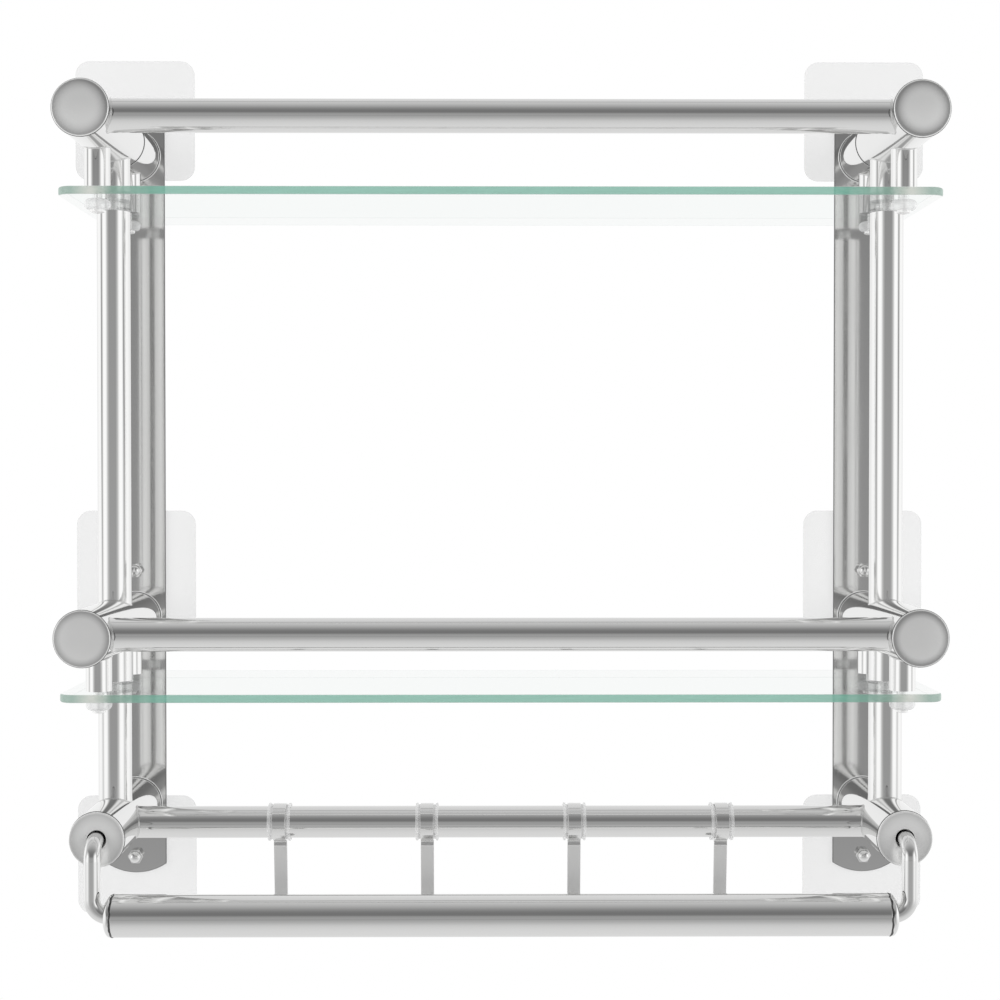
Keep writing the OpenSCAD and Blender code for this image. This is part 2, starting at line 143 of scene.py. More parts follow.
class Tree:
    """A material's node tree with short ways to add nodes."""

    def __init__(self, name):
        self.mat = bpy.data.materials.new(name)
        self.mat.use_nodes = True
        self.nt = self.mat.node_tree
        self.nt.nodes.clear()
        out = self.new("OutputMaterial")
        self.bsdf = self.new("BsdfPrincipled")
        self.link(self.bsdf.outputs[0], out.inputs["Surface"])
        self.coord = self.new("TexCoord").outputs["Object"]

    def new(self, kind):
        return self.nt.nodes.new(f"ShaderNode{kind}")

    def link(self, a, b):
        self.nt.links.new(a, b)

    def drive(self, **outputs):
        """Links an output to each named input of the surface, with _ for a space."""
        for key, output in outputs.items():
            self.link(output, self.bsdf.inputs[key.replace("_", " ")])

    def set(self, **values):
        for key, value in values.items():
            self.bsdf.inputs[key].default_value = value

    def noise(self, scale, detail=3.0, rough=0.5):
        """Noise with its own scale along each axis."""
        n = self.new("TexNoise")
        n.inputs["Scale"].default_value = 1.0
        n.inputs["Detail"].default_value = detail
        n.inputs["Roughness"].default_value = rough
        m = self.new("Mapping")
        m.inputs["Scale"].default_value = scale
        self.link(self.coord, m.inputs["Vector"])
        self.link(m.outputs[0], n.inputs["Vector"])
        return n.outputs["Fac"]

    def remap(self, value, from_low, from_high, to_low, to_high):
        m = self.new("MapRange")
        for i, v in enumerate((from_low, from_high, to_low, to_high), 1):
            m.inputs[i].default_value = v
        self.link(value, m.inputs[0])
        return m.outputs[0]

    def math(self, op, a, b=None):
        return add_math(self.nt, op, a, b)

    def mix(self, fac, a, b):
        """From colour a to colour b. Each is a tuple or another node's output."""
        m = self.new("Mix")
        m.data_type = "RGBA"
        self.link(fac, m.inputs["Factor"])
        for socket, v in ((m.inputs["A"], a), (m.inputs["B"], b)):
            if isinstance(v, tuple):
                socket.default_value = (*v, 1.0)
            else:
                self.link(v, socket)
        return m.outputs["Result"]

    def bump(self, height, strength, distance):
        b = self.new("Bump")
        b.inputs["Strength"].default_value = strength
        b.inputs["Distance"].default_value = distance
        self.link(height, b.inputs["Height"])
        self.drive(Normal=b.outputs[0])


def times(colour, factor):
    return tuple(c * factor for c in colour)


def triple(value):
    """The same value three times: a grey, or one scale along every axis."""
    return (value, value, value)


# ---------------------------------------------------------------- steel
STEEL_GRAIN_HEIGHT = 0.04 * MM
STEEL_SHADE = 0.42


def steel(name, tone, grain, rough, spread, bump=0.06, metal=1.0, shade=None):
    """Polished stainless steel, whose roughness is rough, give or take spread.

    grain is the noise scale along each axis, so fine lines run where it is small.
    shade names a mesh attribute of painted shade that darkens it.
    """
    t = Tree(name)
    lines = t.noise(grain, 4.0, 0.6)
    smears = t.noise(triple(14.0), 3.0, 0.55)
    tint = t.mix(t.remap(smears, 0.3, 0.7, 0.0, 1.0), times(tone, 0.985), tone)
    bright = tuple(min(1.0, c) for c in times(tone, 1.05))
    colour = t.mix(t.remap(lines, 0.62, 0.75, 0.0, 0.35), tint, bright)
    if shade:
        attribute = t.new("Attribute")
        attribute.attribute_name = shade
        depth = attribute.outputs["Fac"]
        uneven = t.math("MULTIPLY", depth, t.remap(smears, 0.3, 0.7, -0.25, 0.25))
        colour = t.mix(t.math("ADD", depth, uneven), colour, times(tone, STEEL_SHADE))
    line_vary = t.remap(lines, 0.3, 0.7, -spread, spread)
    vary = t.math("ADD", line_vary, t.remap(smears, 0.35, 0.7, -spread, spread))
    t.drive(Base_Color=colour, Roughness=t.math("ADD", vary, rough))
    t.set(Metallic=metal)
    t.bump(lines, bump, STEEL_GRAIN_HEIGHT)
    return t.mat


TONE = (0.86, 0.86, 0.855)
BRIGHT = (0.9, 0.9, 0.895)
# The plates' steel is darker than the tubes' TONE: painted shade over the back plates
PLATE_SHADED_TONE = (0.71, 0.71, 0.705)
BEAD_TONE = (0.97, 0.97, 0.965)
SCREW_TONE = (0.95, 0.95, 0.945)
WELD_TONE = (0.78, 0.78, 0.775)

# name, tone, grain, roughness and its spread, then bump, metallic and the shading attribute
steel_x = steel("tube_steel_x", TONE, (6.0, 1400.0, 1400.0), 0.07, 0.015, 0.015)
steel_y = steel("tube_steel_y", TONE, (1400.0, 6.0, 1400.0), 0.06, 0.015, 0.02)
steel_z = steel("tube_steel_z", TONE, (1400.0, 1400.0, 6.0), 0.06, 0.015, 0.02)
# Near-black steel for the plates' outer edges: painted shade along each edge
painted_shade_plate_edge = steel("painted_shade_plate_edge", triple(0.2), (500.0, 500.0, 60.0), 0.35, 0.05, 0.2)
plate_steel = steel("plate_steel", PLATE_SHADED_TONE, (900.0, 900.0, 8.0), 0.09, 0.02, 0.02)
rod_steel = steel("rod_steel", TONE, triple(500.0), 0.06, 0.015)
strip_steel = steel("strip_steel", TONE, (700.0, 700.0, 12.0), 0.11, 0.02)
cap_steel = steel("cap_steel", BRIGHT, (1200.0, 40.0, 1200.0), 0.2, 0.03, 0.06, 0.6, "rim")
satin_steel = steel("satin_steel", TONE, (700.0, 700.0, 12.0), 0.34, 0.03, 0.08)
bright_screw = steel("bright_screw", SCREW_TONE, triple(300.0), 0.3, 0.05, 0.2, 0.3)
bead_steel = steel("bead_steel", BEAD_TONE, triple(400.0), 0.22, 0.05, 0.1, 0.5)
# Near-black steel for thin rings of painted shade in the crevices where parts meet
shade_line_steel = steel("shade_line_steel", triple(0.11), triple(350.0), 0.3, 0.05, 0.2)
plug_steel = steel("plug_steel", BRIGHT, (60.0, 900.0, 900.0), 0.05, 0.015)
nut_steel = steel("nut_steel", BRIGHT, triple(500.0), 0.06, 0.02)
screw_steel = steel("screw_steel", triple(0.72), triple(900.0), 0.26, 0.04, 0.15)
weld_steel = steel("weld_steel", WELD_TONE, triple(350.0), 0.22, 0.05, 0.25)


# ---------------------------------------------------------------- glass and plastics
PANE = (0.91, 0.965, 0.945)
EDGE_GREENS = (0.142, 0.395, 0.3), (0.172, 0.435, 0.34)
# Painted light on the edge: greyer towards the shelf's ends, paler in front of a hanger
EDGE_PAINTED_GREY = (0.227, 0.35, 0.29)
EDGE_PAINTED_LIGHT = (0.52, 0.55, 0.5)


def shelf_glass():
    """Clear pane faces that mirror at low angles, with green ground edges."""
    t = Tree("shelf_glass")
    geo = t.new("NewGeometry")
    normal = t.new("SeparateXYZ")
    t.link(geo.outputs["True Normal"], normal.inputs[0])
    flat = t.remap(t.math("ABSOLUTE", normal.outputs["Z"]), 0.75, 0.95, 0.0, 1.0)
    edge_grain = t.noise((60.0, 60.0, 900.0), 3.0, 0.5)
    green = t.mix(t.remap(edge_grain, 0.3, 0.7, 0.0, 1.0), *EDGE_GREENS)
    # Painted light: the edge is painted greyer towards the shelf's ends and paler where a hanger stands
    # behind it
    place = t.new("SeparateXYZ")
    t.link(t.coord, place.inputs[0])
    aside = t.math("ABSOLUTE", place.outputs["X"])
    hanger_x = mid("right_upper_hangers").x
    grey = t.mix(t.remap(aside, hanger_x - 0.04, hanger_x - 0.01, 0.0, 1.0), green, EDGE_PAINTED_GREY)
    beside = t.math("ABSOLUTE", t.math("SUBTRACT", aside, hanger_x))
    edge_tone = t.mix(t.remap(beside, 0.001, 0.011, 1.0, 0.0), grey, EDGE_PAINTED_LIGHT)
    t.drive(Base_Color=t.mix(flat, edge_tone, PANE), Metallic=flat)
    rim = t.new("Fresnel")
    rim.inputs["IOR"].default_value = 1.5
    smear = t.noise(triple(9.0), 3.0, 0.55)
    pane = t.math("ADD", t.math("MULTIPLY", rim.outputs[0], 0.5), t.remap(smear, 0.35, 0.75, 0.02, 0.035))
    # An edge is deep green from outside, faint at the back, close to the wall,
    # and faint where it is seen through the pane
    inside = geo.outputs["Backfacing"]
    outer = t.remap(normal.outputs["Y"], 0.2, 0.9, 0.82, 0.12)
    seen_outside = t.math("MULTIPLY", outer, t.math("SUBTRACT", 1.0, inside))
    edge = t.math("ADD", seen_outside, t.remap(inside, 0.0, 1.0, 0.0, 0.05))
    upright = t.math("MULTIPLY", t.math("SUBTRACT", 1.0, flat), edge)
    alpha = t.math("ADD", t.math("MULTIPLY", flat, pane), upright)
    t.drive(Alpha=alpha, Roughness=t.remap(smear, 0.3, 0.7, 0.015, 0.05))
    t.bump(edge_grain, 0.05, 0.03 * MM)
    return t.mat


def clear_plastic(name, tone, face_alpha, rim_alpha, rough, grain, bump=0.05, detail=4.0, cloud=0.02):
    """Clear plastic that is faint face on and shows at its rims."""
    t = Tree(name)
    haze = t.noise(triple(grain), detail, 0.6)
    rim = t.new("LayerWeight")
    rim.inputs["Blend"].default_value = 0.35
    face = t.remap(rim.outputs["Facing"], 0.0, 0.9, face_alpha, rim_alpha)
    t.drive(
        Base_Color=t.mix(haze, times(tone, 1.0 - 2.0 * cloud), tone),
        Alpha=t.math("ADD", face, t.remap(haze, 0.3, 0.7, -cloud, cloud)),
        Roughness=t.remap(haze, 0.3, 0.7, rough, rough + 0.08),
    )
    t.set(IOR=1.5)
    t.bump(haze, bump, 0.1 * MM)
    return t.mat


def moulded(name, tone):
    """Plain moulded plastic."""
    t = Tree(name)
    grain = t.noise(triple(400.0), 3.0, 0.5)
    t.drive(
        Base_Color=t.mix(grain, times(tone, 0.94), tone),
        Roughness=t.remap(grain, 0.3, 0.7, 0.4, 0.55),
    )
    t.bump(grain, 0.1, 0.05 * MM)
    return t.mat


glass_mat = shelf_glass()
# name, tone, opacity face on and at the rims, roughness, grain, then bump, detail and cloudiness
bore_glass = clear_plastic("bore_glass", (0.85, 0.92, 0.89), 0.04, 0.12, 0.1, 90.0)
pad_plastic = clear_plastic("pad_plastic", triple(0.66), 0.19, 0.3, 0.25, 14.0, 0.004, 1.0, 0.012)
washer_plastic = clear_plastic("washer_plastic", (0.93, 0.935, 0.935), 0.32, 0.85, 0.06, 150.0)
liner_plastic = clear_plastic("liner_plastic", triple(0.95), 0.24, 0.85, 0.08, 120.0, 0.02, 2.0)
gasket_plastic = clear_plastic("gasket_plastic", triple(0.9), 0.2, 0.5, 0.25, 200.0)
bush_plastic = moulded("bush_plastic", (0.72, 0.72, 0.71))


# ---------------------------------------------------------------- mesh tools
def finish_mesh(name, bm, body, mat, matrix=None):
    """Turns a bmesh into a smooth piece that rides on a body."""
    bmesh.ops.remove_doubles(bm, verts=bm.verts, dist=1e-7)
    bmesh.ops.recalc_face_normals(bm, faces=bm.faces)
    mesh = bpy.data.meshes.new(name)
    bm.to_mesh(mesh)
    bm.free()
    if matrix is not None:
        mesh.transform(matrix)
        if matrix.determinant() < 0:
            mesh.flip_normals()
    for p in mesh.polygons:
        p.use_smooth = True
    mesh.materials.append(mat)
    ob = bpy.data.objects.new(name, mesh)
    scene.collection.objects.link(ob)
    m = ob.modifiers.new("normals", "WEIGHTED_NORMAL")
    m.weight = 100
    m.keep_sharp = True
    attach(ob, body)
    return ob


def arc(cx, cy, r, start, end, n):
    """n + 1 points on a circle, from one angle to another in degrees."""
    angles = [math.radians(start + (end - start) * i / n) for i in range(n + 1)]
    return [(cx + r * math.cos(a), cy + r * math.sin(a)) for a in angles]


def inset(loop, d):
    """Moves a loop's points to its left by d, which is inwards if it runs anticlockwise."""
    out = []
    n = len(loop)
    for i in range(n):
        a, b, c = (Vector(loop[j % n]) for j in (i - 1, i, i + 1))
        e1, e2 = (b - a).normalized(), (c - b).normalized()
        n1, n2 = Vector((-e1.y, e1.x)), Vector((-e2.y, e2.x))
        out.append(b + d * (n1 + n2) / max(0.2, 1.0 + n1.dot(n2)))
    return out


def slab(bm, loops, t, bevel, steps=4, bores=False, rim=False):
    """A plate from z = 0 to t with rounded edges.

    The first loop is its outline, anticlockwise, and the others are holes, clockwise.
    With bores the holes' walls take the second material, and with rim the outline's do.
    """
    levels = []
    for i in range(steps + 1):
        a = math.radians(90.0 * i / steps)
        levels.append((bevel * (1 - math.sin(a)), bevel * (1 - math.cos(a))))
    levels += [(d, t - z) for d, z in reversed(levels)]
    bottom, top = [], []
    for index, loop in enumerate(loops):
        second = rim if index == 0 else bores
        rings = [[bm.verts.new((p.x, p.y, z)) for p in inset(loop, d)] for d, z in levels]
        n = len(loop)
        for r0, r1 in zip(rings, rings[1:]):
            for i in range(n):
                wall = bm.faces.new((r0[i], r0[(i + 1) % n], r1[(i + 1) % n], r1[i]))
                wall.material_index = int(second)
        for cap, ring in ((bottom, rings[0]), (top, rings[-1])):
            for i in range(n):
                cap.append(bm.edges.get((ring[i], ring[(i + 1) % n])))
    for cap in (bottom, top):
        bmesh.ops.triangle_fill(bm, use_beauty=True, use_dissolve=False, edges=cap)


def lathe(bm, profile, n=96, closed=False):
    """Turns a profile of (radius, height) points round Z."""
    turns = [2 * math.pi * i / n for i in range(n)]
    rings = []
    for r, h in profile:
        if r < 1e-9:
            rings.append([bm.verts.new((0, 0, h))])
        else:
            rings.append([bm.verts.new((r * math.cos(a), r * math.sin(a), h)) for a in turns])
    pairs = list(zip(rings, rings[1:]))
    if closed:
        pairs.append((rings[-1], rings[0]))
    for a, b in pairs:
        for i in range(n):
            j = (i + 1) % n
            if len(a) == 1 and len(b) > 1:
                bm.faces.new((a[0], b[i], b[j]))
            elif len(b) == 1 and len(a) > 1:
                bm.faces.new((a[i], a[j], b[0]))
            elif len(a) > 1:
                bm.faces.new((a[i], a[j], b[j], b[i]))


def basis(origin, x, y, z):
    """The matrix that takes a local frame to these axes and this origin."""
    m = Matrix.Identity(4)
    for i, v in enumerate((x, y, z, origin)):
        for k in range(3):
            m[k][i] = v[k]
    return m


def facing_front(origin):
    """Local Z points to the front, local X to the right."""
    return basis(origin, X, Z, -Y)


def facing_x(origin, sign):
    """Local Z points to the right, or to the left if sign is -1."""
    return basis(origin, Y * sign, Z, X * sign)


def rounded_rect(w, h, r, n=10):
    x, y = w / 2 - r, h / 2 - r
    pts = []
    for cx, cy, start in ((x, y, 0), (-x, y, 90), (-x, -y, 180), (x, -y, 270)):
        pts += arc(cx, cy, r, start, start + 90, n)
    return pts


def hole(cx, cy, r, n=48):
    return list(reversed(arc(cx, cy, r, 0, 360, n)[:-1]))


def keep(name, mat):
    """Gives a CAD node its finished material."""
    mesh = nodes[name].data
    mesh.materials.clear()
    mesh.materials.append(mat)
    for p in mesh.polygons:
        p.material_index = 0


# ---------------------------------------------------------------- CAD nodes that stay
for side in SIDES:
    for level in LEVELS:
        keep(f"{side}_{level}_arm", steel_y)
    for shelf in ("upper", "lower"):
        for kind in ("post", "post_stub", "hangers"):
            keep(f"{side}_{shelf}_{kind}", steel_z)
    keep(f"{side}_bent_rod", rod_steel)
for node in ("rod_sockets", "pad_studs"):
    keep(node, screw_steel)
for node in ("post_studs", "hanger_screws"):
    keep(node, bright_screw)
keep("post_gaskets", gasket_plastic)
keep("bar_bushes", bush_plastic)


# ---------------------------------------------------------------- tubes along X
BAR_WALL = 1 * MM


def coped_tube(name, ends, arm_z=0.0, arm_r=0.0, n=128):
    """A tube along X whose ends follow the round arms they meet, or are square if arm_r is zero."""
    centre, r = mid(name), bar_radius(name)
    bm = bmesh.new()
    rings = []
    for radius in (r, r - BAR_WALL):
        stations = []
        for sign, end in ((-1, ends[0]), (1, ends[1])):
            row = []
            for i in range(n):
                a = 2 * math.pi * i / n
                y, z = radius * math.cos(a), radius * math.sin(a)
                cut = math.sqrt(arm_r * arm_r - (z + centre.z - arm_z) ** 2) if arm_r else 0.0
                row.append((end - sign * cut, y, z))
            stations.append(row)
        first, last = ends[0] + arm_r + 0.5 * MM, ends[1] - arm_r - 0.5 * MM
        between = [first + (last - first) * k / 12 for k in range(13)]
        straight = [[(x, y, z) for _, y, z in stations[0]] for x in between]
        rows = [stations[0]] + straight + [stations[1]]
        rings += rows if radius == r else rows[::-1]
    rings = [[bm.verts.new((x, centre.y + y, centre.z + z)) for x, y, z in row] for row in rings]
    for a, b in zip(rings, rings[1:] + rings[:1]):
        for i in range(n):
            j = (i + 1) % n
            bm.faces.new((a[i], a[j], b[j], b[i]))
    return bm


for name, level in (("upper_front_bar", "upper"), ("middle_front_bar", "middle"), ("hook_rail", "lower")):
    left, right = (mid(f"{side}_{level}_arm") for side in SIDES)
    bm = coped_tube(name, (left.x, right.x), left.z, arm_radius(f"left_{level}_arm"))
    piece = finish_mesh(f"{name}_tube", bm, "rack", steel_x)
    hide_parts(name)
bm = coped_tube("towel_bar", (low("towel_bar").x, high("towel_bar").x))
piece = finish_mesh("towel_bar_tube", bm, "towel_bar", steel_x)
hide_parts("towel_bar")


# ---------------------------------------------------------------- arm caps
ARM_WALL = 1.2 * MM
CAP_FLANGE = 2 * MM
CAP_DOME_R = 115 * MM
CAP_EASE = 0.2 * MM
CAP_BACK = 0.2 * MM
SPIGOT_DEPTH, SPIGOT_WALL = 6 * MM, 2 * MM
ROD_HOLE_R = 5.5 * MM
# Painted shade on the caps: a middle cap gets at least this much, and a lower cap gets this share of it
MIDDLE_CAP_LEAST, LOWER_CAP_SHARE = 0.22, 0.4


def spigot_profile(bore):
    """The sleeve behind a cap, which fits the arm's bore."""
    return [(bore, 0.0), (bore, -SPIGOT_DEPTH), (bore - SPIGOT_WALL, -SPIGOT_DEPTH)]


def closed_cap_profile(r, bore):
    """A shallow dome with a rounded edge, and a spigot behind it."""
    edge = 0.9 * MM
    edge_r = r - edge
    sag = CAP_DOME_R - math.sqrt(CAP_DOME_R ** 2 - edge_r ** 2)
    tilt = math.degrees(math.asin(edge_r / CAP_DOME_R))
    p = [(0.0, CAP_FLANGE)]
    for i in range(1, 25):
        q = edge_r * i / 24
        p.append((q, CAP_FLANGE - CAP_DOME_R + math.sqrt(CAP_DOME_R ** 2 - q ** 2)))
    # The edge starts where the dome ends, takes up its slope and ends at the full radius
    cx = edge_r - edge * math.sin(math.radians(tilt))
    cy = max(CAP_FLANGE - sag - edge * math.cos(math.radians(tilt)), CAP_EASE)
    bend = CAP_FLANGE - sag - cy
    p += arc(cx, cy, bend, 90 - tilt, 0, 8)[1:]
    stretch = (r - cx) / bend
    p = [(cx + (q - cx) * stretch if q > edge_r else q, h) for q, h in p]
    p += [(r - CAP_EASE, 0.0)] + spigot_profile(bore)
    return p + [(bore - SPIGOT_WALL, -CAP_BACK), (0.0, -CAP_BACK)]


def open_cap_profile(r, bore):
    """A flat ring with rounded edges round the rod's hole, and a spigot behind it."""
    e, heel = 0.5 * MM, 0.25 * MM
    inner, outer = ROD_HOLE_R + e, r - e
    p = [(ROD_HOLE_R, 0.0), (ROD_HOLE_R, CAP_FLANGE - e)]
    p += arc(inner, CAP_FLANGE - e, e, 180, 90, 5)[1:]
    p += [(inner + (r - ROD_HOLE_R - 2 * e) * k / 12, CAP_FLANGE) for k in range(1, 12)]
    p += arc(outer, CAP_FLANGE - e, e, 90, 0, 6)
    p += arc(r - heel, heel, heel, 0, -90, 3)
    return p + spigot_profile(bore) + [(bore - SPIGOT_WALL, 0.0)]


def cap_painted_shade(q, level):
    """How much painted shade darkens a cap at a share q of its radius: a darker ring towards its edge."""
    ring = max(0.0, min(1.0, (q - 0.5) / 0.42)) ** 2 if q < 0.96 else 0.1
    if level == "middle":
        return max(ring, MIDDLE_CAP_LEAST)
    return ring * LOWER_CAP_SHARE if level == "lower" else ring


for side in SIDES:
    for level in LEVELS:
        arm = f"{side}_{level}_arm"
        node = f"{arm}_cap"
        c, r = mid(arm), arm_radius(arm)
        bore = r - ARM_WALL
        bm = bmesh.new()
        if level == "lower":
            lathe(bm, open_cap_profile(r, bore), closed=True)
        else:
            lathe(bm, closed_cap_profile(r, bore))
        place = facing_front((c.x, low(arm).y, c.z))
        piece = finish_mesh(f"{node}_face", bm, "rack", cap_steel, place)
        # The rim attribute is painted shade, a darker ring towards each cap's edge
        rim = piece.data.attributes.new("rim", "FLOAT", "POINT")
        for v in piece.data.vertices:
            rim.data[v.index].value = cap_painted_shade(math.hypot(v.co.x - c.x, v.co.z - c.z) / r, level)
        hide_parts(node)


# ---------------------------------------------------------------- back plates and pads
PLATE_END_R = 34 * MM
STUD_HOLE_R = 2.75 * MM
CORNER_R = 9 * MM


def plate_outline(w, h, r, n=24):
    """A strip whose two ends are arcs of radius r."""
    half = math.degrees(math.asin(w / 2 / r))
    cy = h / 2 - r
    return arc(0, cy, r, 90 - half, 90 + half, n) + arc(0, -cy, r, 270 - half, 270 + half, n)


for side in SIDES:
    node = f"{side}_back_plate"
    c, s = mid(node), size(node)
    studs = [mid(f"{side}_{level}_pad").z - c.z for level in LEVELS]
    bm = bmesh.new()
    loops = [plate_outline(s.x, s.z, PLATE_END_R)] + [hole(0, z, STUD_HOLE_R) for z in studs]
    slab(bm, loops, s.y, 0.35 * MM, rim=True)
    place = facing_front((c.x, high(node).y, c.z))
    piece = finish_mesh(f"{node}_plate", bm, "rack", plate_steel, place)
    # The outline's walls take the near-black steel, painted shade along the plate's edge
    piece.data.materials.append(painted_shade_plate_edge)
    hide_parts(node)
    for level in LEVELS:
        node = f"{side}_{level}_pad"
        c, s = mid(node), size(node)
        bm = bmesh.new()
        slab(bm, [rounded_rect(s.x, s.z, CORNER_R)], s.y, 0.4 * MM)
        place = facing_front((c.x, 0.0, c.z))
        piece = finish_mesh(f"{node}_sheet", bm, "rack", pad_plastic, place)
        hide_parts(node)


# ---------------------------------------------------------------- dome nuts
HEX_T, HEX_FLATS = 4 * MM, 8.5 * MM
DOME_R, DOME_COLLAR = 3.75 * MM, 1.2 * MM

nut_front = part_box("stud_nuts")[0][1]
for side in SIDES:
    for level in LEVELS:
        c = mid(f"{side}_{level}_pad")
        seat = low(f"{side}_back_plate").y
        corner_r = HEX_FLATS / math.sqrt(3)
        bm = bmesh.new()
        slab(bm, [arc(0, 0, corner_r, 0, 360, 6)[:-1]], HEX_T, 0.35 * MM, 3)
        top = seat - nut_front
        straight = HEX_T + DOME_COLLAR
        profile = [(0.0, top)]
        for i in range(1, 13):
            a = math.radians(90.0 * i / 12)
            profile.append((DOME_R * math.sin(a), straight + (top - straight) * math.cos(a)))
        profile += [(DOME_R, HEX_T - 0.3 * MM), (0.0, HEX_T - 0.3 * MM)]
        lathe(bm, profile, 48)
        place = facing_front((c.x, seat, c.z))
        piece = finish_mesh(f"{side}_{level}_nut", bm, "rack", nut_steel, place)
        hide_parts("stud_nuts")


# ---------------------------------------------------------------- glass shelves and their washers
POST_HOLE_R, SCREW_HOLE_R = 4.5 * MM, 3 * MM
WASHER_BORE_R, WASHER_CORE_R, WASHER_ROUND = 2.0 * MM, 5.0 * MM, 2.5 * MM

for level in ("upper", "lower"):
    node = f"{level}_glass"
    c, s = mid(node), size(node)
    holes = []
    for side in SIDES:
        post = mid(f"{side}_{level}_post")
        holes.append(hole(post.x - c.x, post.y - c.y, POST_HOLE_R))
        for y in hanger_places(side, level)[:2]:
            holes.append(hole(post.x - c.x, y - c.y, SCREW_HOLE_R, 32))
    bm = bmesh.new()
    slab(bm, [rounded_rect(s.x, s.y, CORNER_R, 16)] + holes, s.z, 1.3 * MM, 6, True)
    place = basis((c.x, c.y, low(node).z), X, Y, Z)
    piece = finish_mesh(f"{node}_shelf", bm, "rack", glass_mat, place)
    piece.data.materials.append(bore_glass)
    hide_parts(node)

    washers = f"{level}_glass_washers"
    w_lo, w_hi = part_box(washers)
    t = w_hi[2] - w_lo[2]
    for side in SIDES:
        post = mid(f"{side}_{level}_post")
        for where, y in zip(("front", "rear"), hanger_places(side, level)):
            bm = bmesh.new()
            profile = [(WASHER_BORE_R, -t), (WASHER_CORE_R - 0.4 * MM, -t)]
            for i in range(1, 12):
                a = math.radians(-90 + 180 * i / 12)
                profile.append((WASHER_CORE_R + WASHER_ROUND * math.cos(a), -t / 2 + t / 2 * math.sin(a)))
            profile += [(WASHER_CORE_R - 0.4 * MM, 0.0), (WASHER_BORE_R, 0.0)]
            lathe(bm, profile, 64, closed=True)
            name = f"{side}_{level}_{where}_washer"
            place = Matrix.Translation((post.x, y, w_hi[2]))
            piece = finish_mesh(name, bm, "rack", washer_plastic, place)
            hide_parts(washers)


# ---------------------------------------------------------------- hooks and liners
LINER_BORE, LINER_R, FLANGE_R, FLANGE_T = 9.55 * MM, 10.3 * MM, 11.3 * MM, 1.5 * MM
BAND_BORE, BAND_R = 10.35 * MM, 11.15 * MM
STRIP_T = 1.8 * MM
DROP, BEND_R, TIP = 58 * MM, 10 * MM, 4 * MM
NECK_R, NECK_EDGE = 1.3 * MM, 0.35 * MM
LEAN = math.radians(6.7)


def liner_profile(w):
    """A sleeve with a flange at each end."""
    e = 0.4 * MM
    h = w / 2
    p = [(LINER_BORE, -h)]
    p += arc(FLANGE_R - e, -h + e, e, -90, 0, 4)
    p += arc(FLANGE_R - e, -h + FLANGE_T - e, e, 0, 90, 4)
    p += [(LINER_R, -h + FLANGE_T), (LINER_R, h - FLANGE_T)]
    p += arc(FLANGE_R - e, h - FLANGE_T + e, e, -90, 0, 4)
    p += arc(FLANGE_R - e, h - e, e, 0, 90, 4)
    p += [(LINER_BORE, h)]
    return p


def band_profile(w):
    """A flat ring with eased edges."""
    e = 0.2 * MM
    h = w / 2
    p = arc(BAND_BORE + e, -h + e, e, 180, 270, 3)
    p += arc(BAND_R - e, -h + e, e, 270, 360, 3)
    p += arc(BAND_R - e, h - e, e, 0, 90, 3)
    return p + arc(BAND_BORE + e, h - e, e, 90, 180, 3)


def strip_outline():
    """The hook's side view, from the rail's axis: x is towards the wall and y is up."""
    h = STRIP_T / 2
    bend_y = h - BEND_R
    bend_z = BEND_R - DROP
    inner = BEND_R - STRIP_T
    front = bend_y - BEND_R
    pts = arc(bend_y, bend_z, BEND_R, 0, -180, 40)
    tip = bend_z + TIP
    pts += arc(front + h, tip - h, h, 180, 0, 10)
    pts += arc(bend_y, bend_z, inner, -180, 0, 40)
    # Knuckled where it leaves the band: forward of the strip's face, then behind it
    pts += [(-h, -15.3 * MM), (-h - 0.28 * MM, -14.8 * MM), (-h - 0.3 * MM, -14.5 * MM)]
    pts += [(-h - 0.16 * MM, -14.0 * MM), (-h + 0.25 * MM, -12.8 * MM)]
    pts += [(-h + 0.6 * MM, -10.9 * MM), (h, -10.9 * MM)]
    return list(reversed(pts))


def neck_profile(w):
    """A short bar with rounded ends, along the band's width."""
    h, e = w / 2, NECK_EDGE
    p = [(0.0, -h)] + arc(NECK_R - e, -h + e, e, -90, 0, 3)
    return p + arc(NECK_R - e, h - e, e, 0, 90, 3) + [(0.0, h)]


for i in range(1, 5):
    liner, hook = f"hook_liner_{i}", f"hook_{i}"
    centre = Vector(joint(f"{hook}_swing")["pos_m"])
    across = facing_x(centre, 1)
    bm = bmesh.new()
    lathe(bm, liner_profile(size(liner).x), 80, closed=True)
    piece = finish_mesh(f"{liner}_sleeve", bm, f"liner_{i}", liner_plastic, across)
    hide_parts(liner)

    lean = Matrix.Translation(centre) @ Matrix.Rotation(LEAN, 4, "X")
    w = size(hook).x
    bm = bmesh.new()
    lathe(bm, band_profile(w - 0.2 * MM), 80, closed=True)
    band = finish_mesh(f"{hook}_band", bm, hook, strip_steel, across)
    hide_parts(hook)
    bm = bmesh.new()
    slab(bm, [strip_outline()], w, 0.3 * MM, 3)
    place = lean @ basis((-w / 2, 0, 0), Y, Z, X)
    strip = finish_mesh(f"{hook}_strip", bm, hook, satin_steel, place)
    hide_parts(hook)
    bm = bmesh.new()
    lathe(bm, neck_profile(w), 32)
    place = lean @ facing_x((0, 0, -BAND_R - NECK_EDGE), 1)
    weld = finish_mesh(f"{hook}_neck", bm, hook, weld_steel, place)
    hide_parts(hook)


# ---------------------------------------------------------------- towel bar plugs
PLUG_INNER_R, PLUG_DEPTH = 7 * MM, 16 * MM
PLUG_RIM, PLUG_CROWN_ANGLE = 1.4 * MM, 48.0
CRIMP_HEIGHT, CRIMP_REACH = 1.1 * MM, 2.6 * MM


def crimp(angle, sign):
    """How far the crimped rim of a plug stands off, from 0 to 1, at an angle round it."""
    a = angle * sign
    return 0.5 + 0.25 * math.sin(7 * a + 0.6) * math.cos(2 * a) + 0.25 * math.sin(11 * a + 1.9 * sign)


